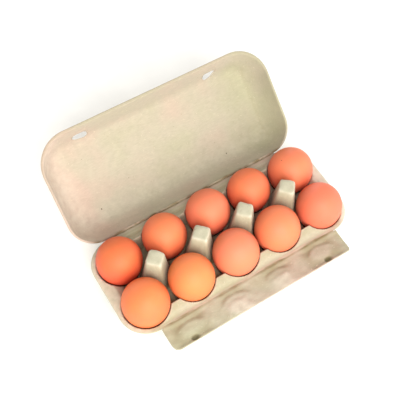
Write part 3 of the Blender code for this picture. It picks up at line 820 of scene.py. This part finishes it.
def makeLid():
    inner = smoothRows(lidWalls, lid["wallLevels"])
    outer = offsetRows(inner, lid["wall"])
    lipRows = [(0.55, 123.2, 110.1, 0.0), (0.28, 123.05, 109.9, 0.2), (0.16, 122.6, 109.3, 0.6),
               (0.15, 122.0, 108.4, 1.2), (0.2, 121.5, 107.6, 1.7)]
    outerLip = [(tray["wall"] + 0.1, 122.9, 109.6, -0.02), (tray["wall"] - 0.3, 123.18, 110.05, -0.05),
                (1.1, *lidLip)]
    inner[0, 0] = 0.6
    rows = list(reversed(floorRows(inner[-1]))) + list(inner[::-1]) + lipRows[::-1] + outerLip[::-1]
    innerCount = lid["floorRings"] + len(inner)
    rows += list(outer[1:]) + floorRows(outer[-1])
    rings = [lidRing(*row) for row in rows]
    x = np.stack([ring[0] for ring in rings])
    s = np.stack([ring[1] for ring in rings])
    n = np.stack([ring[2] for ring in rings])
    # The inner skin is dented a little, always away from the outer one
    seed = lid["seed"]
    depth = 0.28 * (smoothNoise(x, s, n, 26.0, seed) - 1.0)
    depth = depth + 0.09 * (smoothNoise(x, s, n, 7.0, seed + 1) - 1.0)
    level = np.arange(len(rings))[:, None]
    inside = np.clip((innerCount - 2 - level) / 3.0, 0.0, 1.0)
    n = n + depth * inside * ramp(n, 4.0, 10.0)
    index = np.arange(x.size).reshape(x.shape)
    closed = np.concatenate([index, index[:, :1]], 1)
    faces = gridFaces(closed)
    lipLevel = np.exp(-((level - (innerCount + 2.0)) / 3.0) ** 2)
    # Painted light pales the left end wall, but not the lip
    wear = 0.75 * ramp(-x, 92.0, 24.0) * (1.0 - lipLevel)
    hue = np.interp(x + 0.25 * (s - 50.0), [-112.0, -84.0, -20.0, 60.0, 100.0, 112.0],
                    [2.2, 0.5, -0.2, 0.2, -0.3, -0.9])
    foot = np.exp(-((n - 29.0) / 5.0) ** 2) * np.clip(1.0 - level / innerCount, 0.0, 1.0)
    hingeSide = ramp(s, 34.0, -22.0)
    hue = hue - 1.1 * foot * hingeSide * ramp(x, -115.0, 40.0)
    # Painted light pales the hinge side where its wall meets the floor
    wear = wear + 0.9 * foot * hingeSide
    # Painted shade: a soft dark line where the right end wall meets the floor
    cornerShade = np.exp(-((x - 109.0) / 1.6) ** 2) * ramp(n, 36.0, -4.0) * ramp(n, 20.0, 6.0)
    # Painted shade on the lip, more towards the far edge
    hollow = 0.3 * lipLevel * np.clip((s - 20.0) / 60.0, 0.2, 1.0) + 0.13 * cornerShade
    # Painted shade in the band where the hinge side meets the floor, stronger to the right
    hollow = hollow + 0.22 * foot * ramp(s, 34.0, -8.0) * ramp(x, -60.0, 60.0)
    # Painted shade along the fold at the hinge, uneven
    hinge = np.exp(-((level - innerCount - 2.0) / 4.0) ** 2) * ramp(s, 6.0, -4.0)
    hollow = hollow + hinge * np.clip(0.35 + 0.9 * smoothNoise(x, s, n, 3.0, seed + 7), 0.0, 0.9)
    mesh = makeMesh("pulp_lid", (lidToWorld(x, s, n) * mm).reshape(-1, 3), faces,
                    {"wear": wear.ravel(), "hollow": hollow.ravel(), "hue": hue.ravel(),
                     "fuzz": 1.0 * (n > 8.0).ravel()})
    tidyMesh(mesh, 0.02 * mm)
    piece = makePiece("pulp_lid", mesh, pulpLid)
    for slot in lid["slots"]:
        cutSlot(piece, inner, *slot)
    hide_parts("lid")
    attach(piece, "lid")
    print("stage: lid", len(piece.data.polygons), "faces")
    return piece


# Opens one slot, square to the wall for the stud and along the mould's pull below it.
def cutSlot(piece, inner, middle, half, reach, width, slant, bow, taper):
    depth = lid["slotDepth"]
    wallReach = float(np.interp(depth, inner[:, 0], inner[:, 2]))
    slope = float(np.interp(depth + 1.0, inner[:, 0], inner[:, 2])) - wallReach
    angle = 2.0 * np.pi * np.arange(lid["slotSteps"]) / lid["slotSteps"]
    u = np.sign(np.cos(angle)) * np.abs(np.cos(angle)) ** 0.55
    v = np.sign(np.sin(angle)) * np.abs(np.sin(angle)) ** 0.7 + 0.05 * np.sin(3.0 * angle + middle)
    x = middle + half * u
    stud = [lidToWorld(x, wallReach + across + v * lid["slotHeight"] / 2.0 * slope,
                       depth + v * lid["slotHeight"] / 2.0 - across * slope) for across in lid["studCut"]]
    s = reach + slant * u + bow * u * u + v * width * (1.0 + taper * u)
    core = [lidToWorld(x, s, np.full(x.shape, n)) for n in lid["coreCut"]]
    for ends in (stud, core):
        count = len(x)
        sides = ringFaces(np.arange(count), np.arange(count, 2 * count))
        caps = [list(range(count))[::-1], list(range(count, 2 * count))]
        mesh = makeMesh("slotCutter", np.concatenate(ends) * mm, sides + caps)
        cutter = makePiece("slotCutter", tidyMesh(mesh), None)
        cut = piece.modifiers.new("slot", "BOOLEAN")
        cut.operation = "DIFFERENCE"
        cut.solver = "EXACT"
        cut.object = cutter
        bpy.context.view_layer.update()
        evaluated = piece.evaluated_get(bpy.context.evaluated_depsgraph_get())
        piece.data = bpy.data.meshes.new_from_object(evaluated)
        piece.modifiers.clear()
        bpy.data.objects.remove(cutter, do_unlink=True)


makeLid()


# Flap: a pressed strip with hollows at its hinge, raised pads and two studs

flap = {
    "left": -96.0, "right": 97.5, "length": 24.6, "start": 0.3, "wall": 2.0,
    "thinReach": (0.3, 1.9, 3.6), "thinWall": (0.3, 0.8, 2.0),
    "leftCorner": 6.5, "rightCorner": 2.5,
    "hollow": 1.15, "pad": 0.7, "underHollow": 1.2,
    "studX": 73.7, "studReach": 20.8, "studHalf": (4.6, 3.1), "studSquare": 2.6,
    "dimple": 3.2, "stud": 4.5,      # depths of a stud's upper and lower face
    "cell": 0.85, "rows": 30,
    "edge": ((0.1, 0.15), (0.0, 0.55), (0.0, 1.2), (0.15, 1.75)),      # inset and drop of the edge's rings
    "seed": 71,
}


def bump(distance):
    return np.cos(np.clip(distance, 0.0, 1.0) * math.pi / 2.0) ** 2


def fade(distance, near, far):
    share = np.clip((far - np.abs(distance)) / (far - near), 0.0, 1.0)
    return share * share * (3.0 - 2.0 * share)


# The flap's upper face: its height over its plane in millimetres, and its share of the shade colour, which
# is painted shade with the streaks' own tone.
def flapRelief(x, reach):
    seed = flap["seed"]
    place, straight = x, reach
    # The moulded streaks run aslant, away from the hinge and to the right
    along, over = 0.75 * x + 0.66 * reach, 0.75 * reach - 0.66 * x
    streak = smoothNoise(along, 3.0 * over, 0.0, 17.0, seed + 10)
    x = x + 1.8 * smoothNoise(x, reach, 0.0, 12.0, seed) + 0.6 * smoothNoise(x, reach, 0.0, 4.0, seed + 8)
    reach = (reach + 0.9 * smoothNoise(x, reach, 0.0, 9.0, seed + 1)
             + 0.3 * smoothNoise(x, reach, 0.0, 4.0, seed + 9))
    gap = np.clip(np.round(x / tray["pitch"] - 0.5), -tray["last"], tray["last"] - 1)
    across = x - (gap + 0.5) * tray["pitch"]
    outer = ramp(np.abs(x), 42.0, 12.0)
    arch = 2.2 + 3.8 * np.minimum((across / 14.0) ** 2, 1.3)
    hollow = fade(across, 8.0, 20.0) * bump((reach - arch) / 5.0)
    shade = fade(across, 8.0, 19.0) * bump((reach - arch - 1.2) / 4.2)
    low = fade(across, 7.0, 18.0) * bump((reach - 13.2) / 6.0)
    broad = fade(across, 6.0, 16.0) * fade(reach - 17.5, 4.0, 8.5)
    pad = outer * low + (1.0 - outer) * broad
    trough = outer * fade(across, 12.0, 24.0) * bump((reach - 20.8) / 4.2)
    valley = bump((np.abs(across) - 24.0) / 9.0) * bump((reach - 19.5) / 6.0)
    valley = valley * np.clip((place + 5.0) / 30.0, 0.1, 1.0)
    rough = (0.28 * smoothNoise(x, reach, 0.0, 4.5, seed + 2)
             + 0.3 * smoothNoise(x, reach, 0.0, 10.0, seed + 3) + 0.3 * streak)
    height = flap["pad"] * pad - flap["hollow"] * hollow - 0.8 * trough - 0.4 * valley + rough
    calm = np.clip(np.minimum(0.8 * (straight - 1.0), flap["length"] - straight) / 2.5, 0.0, 1.0)
    # Painted shade in the hollows, the outer trough and the valleys, less on the pads; the streaks and the
    # noise are the board's own tone
    shadeAndStreaks = 0.05 + 0.44 * shade + 0.3 * trough + 0.22 * valley - 0.3 * pad + 0.13 * streak
    return np.minimum(height, flap["pad"]) * calm, shadeAndStreaks + 0.1 * smoothNoise(x, reach, 0.0, 6.0, seed + 4)


def studShape(x, reach):
    halfX, halfY = flap["studHalf"]
    dx = np.abs(np.abs(x) - flap["studX"]) / halfX
    dy = np.abs(reach - flap["studReach"]) / halfY
    away = (dx ** flap["studSquare"] + dy ** flap["studSquare"]) ** (1.0 / flap["studSquare"])
    return ramp(away, 1.0, -0.5)


def flapGrid(inset):
    columns = int((flap["right"] - flap["left"]) / flap["cell"])
    columns += columns % 2
    x = np.linspace(flap["left"] + inset, flap["right"] - inset, columns + 1)[:, None]
    leftShort = np.clip(flap["leftCorner"] - (x - flap["left"] - inset), 0.0, flap["leftCorner"])
    rightShort = np.clip(flap["rightCorner"] - (flap["right"] - inset - x), 0.0, flap["rightCorner"])
    length = flap["length"] - inset
    length = length - flap["leftCorner"] + np.sqrt(flap["leftCorner"] ** 2 - leftShort ** 2)
    length = length - flap["rightCorner"] + np.sqrt(flap["rightCorner"] ** 2 - rightShort ** 2)
    length = length - 0.25 * (1.0 + smoothNoise(x, 0.0, 0.0, 19.0, flap["seed"] + 5))
    share = np.linspace(0.0, 1.0, flap["rows"] + 1)[None, :]
    start = flap["start"] + inset
    reach = start + (length - start) * share
    return np.broadcast_to(x, reach.shape), reach


def flapHue(x, reach):
    lean = np.interp(x, [-96.0, -60.0, -30.0, 60.0, 90.0, 97.0], [-1.0, -0.7, 0.0, 0.8, 0.4, -1.0])
    along, over = 0.75 * x + 0.66 * reach, 0.75 * reach - 0.66 * x
    return lean + 0.8 * smoothNoise(along, 2.0 * over, 0.0, 18.0, flap["seed"] + 6)


# Thin at the hinge, so that the flap can fold down past the tray's rim.
def flapWall(reach):
    return np.interp(reach, flap["thinReach"], flap["thinWall"])


def makeFlap():
    skin = Skin()
    hingeY, hingeZ = flapAxis[1] / mm, flapAxis[2] / mm
    x, reach = flapGrid(0.45)
    relief, shadeAndStreaks = flapRelief(x, reach)
    stud = studShape(x, reach)
    # Raised pads are paler; each stud's dimple takes painted shade
    raised = np.clip((relief - 0.2) * 1.1, 0.0, 0.55)
    top = skin.add(x, hingeY - reach, hingeZ + relief - flap["dimple"] * stud - 0.05, wear=raised,
                   hollow=shadeAndStreaks + 0.5 * stud, hue=flapHue(x, reach), fuzz=1.0 * (reach > 4.0))
    skin.faces += gridFaces(top)
    loop = borderLoop(top)
    for inset, drop in flap["edge"]:
        ringX, ringReach = borderOf(*flapGrid(inset))
        relief, shadeAndStreaks = flapRelief(ringX, ringReach)
        drop = drop * flapWall(ringReach) / flap["wall"]
        # The rounded edge takes a little painted shade
        following = skin.add(ringX, hingeY - ringReach, hingeZ + relief - 0.05 - drop, wear=0.1,
                             hollow=shadeAndStreaks + 0.1, hue=flapHue(ringX, ringReach))
        skin.faces += ringFaces(loop, following)
        loop = following
    x, reach = flapGrid(0.6)
    stud = studShape(x, reach)
    relief, shadeAndStreaks = flapRelief(x, reach)
    z = np.maximum(relief, -flap["underHollow"]) - flapWall(reach) - flap["stud"] * stud
    # The underside takes a little painted shade
    under = skin.add(x, hingeY - reach, hingeZ + z, hollow=0.15, hue=flapHue(x, reach))
    skin.faces += gridFaces(under[:, ::-1])
    skin.faces += ringFaces(loop, borderLoop(under))
    mesh = skin.mesh("pulp_flap")
    piece = makePiece("pulp_flap", tidyMesh(mesh), pulpFlap)
    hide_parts("flap")
    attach(piece, "flap")
    print("stage: flap", len(mesh.polygons), "faces")
    return piece


makeFlap()


# Creases: thin bent strips of pulp where the lid and the flap fold, y and z in millimetres
# from the tray's centre line and its foot

# In each crease, dark is painted shade across the fold, row by row of its profile
creases = {
    "pulp_crease_lid": {
        "body": "lid", "half": 96.5, "thick": 0.6, "material": pulpTray,
        "profile": ((50.2, 30.25), (50.55, 30.18), (50.8, 30.08), (51.05, 30.05), (51.3, 30.1),
                    (51.7, 30.16), (52.2, 30.2)),
        "dark": (0.0, 0.5, 0.95, 1.0, 0.95, 0.5, 0.0), "bend": (50.6, 51.9), "seed": 91,
        "hue": (-0.9, -0.7, -0.5, -0.4, -0.4)},
    "pulp_crease_flap": {
        "body": "flap", "half": 95.0, "thick": 0.7, "material": pulpFlap,
        "profile": ((-50.2, 30.5), (-50.8, 30.62), (-51.3, 30.66), (-51.8, 30.67), (-52.3, 30.68),
                    (-52.9, 30.67), (-53.6, 30.5)),
        "dark": (0.25, 0.25, 0.3, 0.3, 0.2, 0.1, 0.05), "bend": (-51.0, -52.6), "seed": 95,
        "hue": (-0.8, -0.6, 0.1, 0.7, 0.5)},
}


def makeCrease(name, crease):
    upper = np.array(crease["profile"])
    rows = np.concatenate([upper, (upper - (0.0, crease["thick"]))[::-1]])
    dark = np.concatenate([crease["dark"], crease["dark"][::-1]])
    x = np.linspace(-crease["half"], crease["half"], 321)[:, None]
    wave = 0.10 * smoothNoise(x, rows[None, :, 0], 0.0, 2.2, crease["seed"])
    relief, shadeAndStreaks = 0.0, 0.0
    if crease["body"] == "flap":
        # The flap's crease lies on the flap's own face
        relief, shadeAndStreaks = flapRelief(x, np.maximum(flapAxis[1] / mm - trayCentre - rows[None, :, 0], 0.0))
        wave = 0.3 * wave
    y = trayCentre + rows[None, :, 0] + 0.5 * wave
    z = rows[None, :, 1] - 0.08 + wave + relief
    grid = np.stack(np.broadcast_arrays(x, y, z), -1)
    # Painted shade along the fold, uneven along its length, with the flap's own shade share on the flap's
    # crease
    uneven = 0.75 + 0.7 * smoothNoise(x, 0.0, 0.0, 4.0, crease["seed"] + 1)
    shade = np.clip(dark[None, :] * uneven + shadeAndStreaks, 0.0, 1.0)
    index = np.arange(y.size).reshape(y.shape)
    faces = gridFaces(np.concatenate([index, index[:, :1]], 1))
    faces += [index[0].tolist(), index[-1, ::-1].tolist()]
    hue = np.broadcast_to(np.interp(x, [-96.0, -60.0, -30.0, 60.0, 90.0], crease["hue"]), y.shape)
    mesh = makeMesh(name, grid.reshape(-1, 3) * mm, faces, {"hollow": shade.ravel(), "hue": hue.ravel()})
    piece = makePiece(name, tidyMesh(mesh), crease["material"])
    start, end = (Vector((0.0, trayCentre + y, 30.2)) * mm for y in crease["bend"])
    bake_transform(piece)
    return piece


for creaseName, creaseData in creases.items():
    makeCrease(creaseName, creaseData)
print("stage: creases")


# Eggs: one node tree draws every egg from its own sizes

# A tree for shapes, with the labels of its inputs by kind; also gives the sockets that they arrive at.
def startTree(name, inputs):
    tree = bpy.data.node_groups.new(name, "GeometryNodeTree")
    tree.is_modifier = True
    tree.interface.new_socket("Geometry", in_out="OUTPUT", socket_type="NodeSocketGeometry")
    for kind, labels in inputs.items():
        for label in labels:
            tree.interface.new_socket(label, in_out="INPUT", socket_type="NodeSocket" + kind)
    add = partial(addNode, tree)
    return tree, add, add("NodeGroupInput").outputs


def finishTree(add, shape, material):
    realized = add("GeometryNodeRealizeInstances", links={"Geometry": shape})
    smooth = add("GeometryNodeSetShadeSmooth", links={"Geometry": realized})
    finished = add("GeometryNodeSetMaterial", links={"Geometry": smooth, "Material": material})
    add("NodeGroupOutput", links={0: finished})


def makeEggTree():
    tree, add, given = startTree("eggShape", {
        "Geometry": ("Geometry",), "Vector": ("Centre",), "Material": ("Shell",),
        "Float": ("Radius", "Blunt", "Point", "Taper", "Uneven", "Seed", "Lean", "Tint", "PaintedShadeRed", "Bloom")})
    ball = add("GeometryNodeMeshUVSphere",
        {"Segments": eggs["segments"], "Rings": eggs["rings"], "Radius": 1.0})
    position = add("GeometryNodeInputPosition")
    parts = add("ShaderNodeSeparateXYZ", links={0: position}).outputs
    # Redder round the middle and below than on the blunt end: painted shade, on top of each egg's own share
    # of red pigment
    low = add("ShaderNodeMapRange", {"From Min": 0.8, "From Max": -0.1}, {"Value": parts["Z"]})
    redder = add("ShaderNodeMath", {"operation": "MULTIPLY_ADD"},
        {0: low, 1: given["PaintedShadeRed"], 2: given["Tint"]})
    tinted = add("GeometryNodeStoreNamedAttribute",
        {"data_type": "FLOAT", "domain": "POINT", "Name": "shellTint"}, {"Geometry": ball, "Value": redder})
    below = add("ShaderNodeMath", {"operation": "MINIMUM", 1: 0.0}, {0: parts["Z"]})
    square = add("ShaderNodeMath", {"operation": "MULTIPLY"}, {0: below, 1: below})
    loss = add("ShaderNodeMath", {"operation": "MULTIPLY"}, {0: square, 1: given["Taper"]})
    narrow = add("ShaderNodeMath", {"operation": "SUBTRACT", 0: 1.0}, {1: loss})
    isTop = add("ShaderNodeMath", {"operation": "GREATER_THAN", 1: 0.0}, {0: parts["Z"]})
    spread = add("ShaderNodeMath", {"operation": "SUBTRACT"}, {0: given["Blunt"], 1: given["Point"]})
    tall = add("ShaderNodeMath", {"operation": "MULTIPLY_ADD"}, {0: isTop, 1: spread, 2: given["Point"]})
    scale = add("ShaderNodeCombineXYZ", links={0: narrow, 1: narrow, 2: tall})
    shaped = add("ShaderNodeVectorMath", {"operation": "MULTIPLY"}, {0: position, 1: scale})
    sized = add("ShaderNodeVectorMath", {"operation": "SCALE"}, {0: shaped, "Scale": given["Radius"]})
    wave = add("ShaderNodeTexNoise", {"noise_dimensions": "4D", "Scale": 1.3, "Detail": 1.0},
        {"Vector": position, "W": given["Seed"]})
    centredWave = add("ShaderNodeMath", {"operation": "SUBTRACT", 1: 0.5}, {0: wave})
    amount = add("ShaderNodeMath", {"operation": "MULTIPLY"}, {0: centredWave, 1: given["Uneven"]})
    push = add("ShaderNodeVectorMath", {"operation": "SCALE"}, {0: position, "Scale": amount})
    pushed = add("ShaderNodeVectorMath", {"operation": "ADD"}, {0: sized, 1: push})
    shapedBall = add("GeometryNodeSetPosition", links={"Geometry": tinted, "Position": pushed})
    tilt = add("ShaderNodeCombineXYZ", links={0: given["Lean"]})
    placed = add("GeometryNodeTransform",
        links={"Geometry": shapedBall, "Translation": given["Centre"], "Rotation": tilt})
    bloomed = add("GeometryNodeStoreNamedAttribute",
        {"data_type": "FLOAT", "domain": "POINT", "Name": "shellBloom"},
        {"Geometry": placed, "Value": given["Bloom"]})
    finishTree(add, bloomed, given["Shell"])
    return tree


# A plain mesh piece from a node tree; values maps the tree's input names to what they are set to.
def runTree(name, tree, values, start=None):
    mesh = start or bpy.data.meshes.new(name)
    host = bpy.data.objects.new(name + "Host", mesh)
    bpy.context.scene.collection.objects.link(host)
    modifier = host.modifiers.new(name, "NODES")
    modifier.node_group = tree
    for item in tree.interface.items_tree:
        if item.in_out == "INPUT" and item.name in values:
            modifier[item.identifier] = values[item.name]
    bpy.context.view_layer.update()
    evaluated = host.evaluated_get(bpy.context.evaluated_depsgraph_get())
    result = bpy.data.meshes.new_from_object(evaluated)
    result.name = name
    bpy.data.objects.remove(host, do_unlink=True)
    return makePiece(name, result, None)


def makeEggs():
    tree = makeEggTree()
    for rowName, side in (("front", -1.0), ("back", 1.0)):
        for number, (radius, dx, dy, drop, lean, redShare, bloom) in enumerate(eggs[rowName]):
            centre = ((number - tray["last"]) * tray["pitch"] + dx,
                      trayCentre + side * tray["row"] + dy, eggs["level"] - drop)
            piece = runTree(f"shell_{rowName}_{number + 1}", tree, {
                "Radius": radius * mm, "Blunt": eggs["blunt"], "Point": eggs["point"],
                "Taper": eggs["taper"], "Uneven": eggs["uneven"] * mm * 2.0,
                "Seed": 3.7 * number + 11.0 * side, "Lean": math.radians(lean),
                "Centre": tuple(c * mm for c in centre), "Tint": redShare,
                "PaintedShadeRed": eggs["paintedShadeRed"][rowName], "Bloom": bloom, "Shell": eggshell})
            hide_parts(f"egg_{rowName}_{number + 1}")
            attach(piece, "tray")
    print("stage: ten eggs")


makeEggs()


# Stray fibres: short bent hairs of paper that stand out of the felt

fibres = {
    "length": 1.7, "width": 0.13, "bend": 0.35,     # mm
    "density": 16000.0,     # on each square metre of felt that shows
    "margin": 0.8,          # mm kept free inside the whole object's box
    "pale": "#DDD2BA", "dark": "#A8997C",
}


# Bleached paper fibre: matt, some hairs paler than the board and a few darker
def makeFibrePaper(name):
    material, add, shader, place = startMaterial(name)
    which = add("ShaderNodeTexNoise", {"Scale": 1.0 / (4.0 * mm), "Detail": 1.0}, {"Vector": place})
    tone = add("ShaderNodeValToRGB",
        {"stops": [(0.35, hexColour(fibres["dark"])), (0.5, hexColour(fibres["pale"]))]}, {"Fac": which})
    connect(shader, {"Base Color": tone})
    shader.inputs["Roughness"].default_value = 0.9
    shader.inputs["Specular IOR Level"].default_value = 0.2
    return material


def makeFibreTree():
    tree, add, given = startTree("strayFibres", {
        "Geometry": ("Geometry",), "Float": ("Length", "Width", "Bend", "Density"), "Int": ("Seed",),
        "Vector": ("Low", "High"), "Material": ("Paper",)})
    # A hair runs along x with its middle lifted a little off the board
    half = add("ShaderNodeMath", {"operation": "MULTIPLY", 1: 0.5}, {0: given["Length"]})
    back = add("ShaderNodeMath", {"operation": "MULTIPLY", 1: -0.5}, {0: given["Length"]})
    lift = add("ShaderNodeMath", {"operation": "MULTIPLY", 1: 0.3}, {0: given["Bend"]})
    start = add("ShaderNodeCombineXYZ", links={0: back})
    middle = add("ShaderNodeCombineXYZ", links={1: given["Bend"], 2: lift})
    end = add("ShaderNodeCombineXYZ", links={0: half})
    path = add("GeometryNodeCurveQuadraticBezier", {"Resolution": 5},
        {"Start": start, "Middle": middle, "End": end})
    radius = add("ShaderNodeMath", {"operation": "MULTIPLY", 1: 0.5}, {0: given["Width"]})
    ring = add("GeometryNodeCurvePrimitiveCircle", {"Resolution": 4}, {"Radius": radius})
    hair = add("GeometryNodeCurveToMesh", {"Fill Caps": True}, {"Curve": path, "Profile Curve": ring})
    fuzz = add("GeometryNodeInputNamedAttribute",
        {"data_type": "FLOAT", "Name": "fuzz"}).outputs["Attribute"]
    density = add("ShaderNodeMath", {"operation": "MULTIPLY"}, {0: fuzz, 1: given["Density"]})
    spread = add("GeometryNodeDistributePointsOnFaces",
        links={"Mesh": given["Geometry"], "Density": density, "Seed": given["Seed"]})
    turn = add("FunctionNodeRandomValue", {"data_type": "FLOAT", 2: 0.0, 3: 2.0 * math.pi},
        {"Seed": given["Seed"]}).outputs[1]
    spin = add("ShaderNodeCombineXYZ", links={2: turn})
    turned = add("FunctionNodeRotateRotation", {"rotation_space": "LOCAL"},
        {0: spread.outputs["Rotation"], 1: spin})
    size = add("FunctionNodeRandomValue", {"data_type": "FLOAT", 2: 0.5, 3: 1.3},
        {"Seed": given["Seed"]}).outputs[1]
    # Hairs near the outside of the whole object are left out
    position = add("GeometryNodeInputPosition")
    inside = None
    for operation, limit in (("GREATER_THAN", "Low"), ("LESS_THAN", "High")):
        test = add("FunctionNodeCompare",
            {"data_type": "VECTOR", "mode": "ELEMENT", "operation": operation},
            {4: position, 5: given[limit]})
        inside = test if inside is None else add("FunctionNodeBooleanMath", {"operation": "AND"},
            {0: inside, 1: test})
    scattered = add("GeometryNodeInstanceOnPoints",
        links={"Points": spread, "Selection": inside, "Instance": hair, "Rotation": turned, "Scale": size})
    finishTree(add, scattered, given["Paper"])
    return tree


def makeFibres():
    tree = makeFibreTree()
    paper = makeFibrePaper("bleachedPaperFibre")
    for number, body in enumerate(("tray", "lid", "flap")):
        board = bpy.data.objects["pulp_" + body].data.copy()
        piece = runTree("fibres_" + body, tree, {
            "Length": fibres["length"] * mm, "Width": fibres["width"] * mm, "Bend": fibres["bend"] * mm,
            "Density": fibres["density"], "Seed": 5 + number,
            "Low": tuple(value + fibres["margin"] * mm for value in cadLow),
            "High": tuple(value - fibres["margin"] * mm for value in cadHigh), "Paper": paper}, board)
        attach(piece, body)
        print("stage: fibres on the", body, len(piece.data.polygons), "faces")


makeFibres()


# Specks: crumbs of old print in the lid's board and one dark spot on an egg

specks = {
    # x, s and n in the lid's frame, size
    "lid": ((-82.0, 22.0, 32.6, 0.75), (60.0, 15.0, 30.4, 0.8), (107.0, 81.0, 32.4, 0.6),
            (20.0, 64.0, 33.0, 0.35), (-31.0, 88.0, 33.0, 0.3)),
    # x and y from the middle of the tray, height, size
    "egg": ((86.0, 27.5, 56.0, 0.55),),
    "flat": 0.3,        # thickness against size
    "ink": "#4C4233", "spot": "#7D3522",
}


# Old printing ink and burnt pigment: dark, dull and a little uneven
def makeSpeckInk(name, colour):
    material, add, shader, place = startMaterial(name)
    mottle = add("ShaderNodeTexNoise", {"Scale": 1.0 / (0.5 * mm), "Detail": 2.0}, {"Vector": place})
    tone = add("ShaderNodeMath", {"operation": "MULTIPLY_ADD", 1: 0.8, 2: 0.6}, {0: mottle})
    toned = add("ShaderNodeVectorMath", {"operation": "SCALE", 0: hexColour(colour)[:3]}, {"Scale": tone})
    connect(shader, {"Base Color": toned})
    shader.inputs["Roughness"].default_value = 0.85
    return material


# Flattened lenses that lie half sunk in the surface of another piece.
def makeSpecks(name, host, places, ink, body):
    bm = bmesh.new()
    for place, size in places:
        point, normal = host.closest_point_on_mesh(place * mm)[1:3]
        lens = bmesh.ops.create_icosphere(bm, subdivisions=2, radius=1.0)["verts"]
        turn = normal.to_track_quat("Z", "X").to_matrix().to_4x4()
        shape = Matrix.Diagonal((size * mm, 0.7 * size * mm, specks["flat"] * size * mm, 1.0))
        bmesh.ops.transform(bm, matrix=Matrix.Translation(point) @ turn @ shape, verts=lens)
    mesh = bpy.data.meshes.new(name)
    bm.to_mesh(mesh)
    bm.free()
    mesh.shade_smooth()
    piece = makePiece(name, mesh, ink)
    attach(piece, body)


lidPlaces = [(Vector(lidToWorld(x, s, n).tolist()), size) for x, s, n, size in specks["lid"]]
eggPlaces = [(Vector((x, trayCentre + y, z)), size) for x, y, z, size in specks["egg"]]
makeSpecks("specks_lid", bpy.data.objects["pulp_lid"], lidPlaces,
           makeSpeckInk("oldPrintInk", specks["ink"]), "lid")
makeSpecks("specks_egg", bpy.data.objects["shell_back_5"], eggPlaces,
           makeSpeckInk("shellSpot", specks["spot"]), "tray")
print("stage: specks")
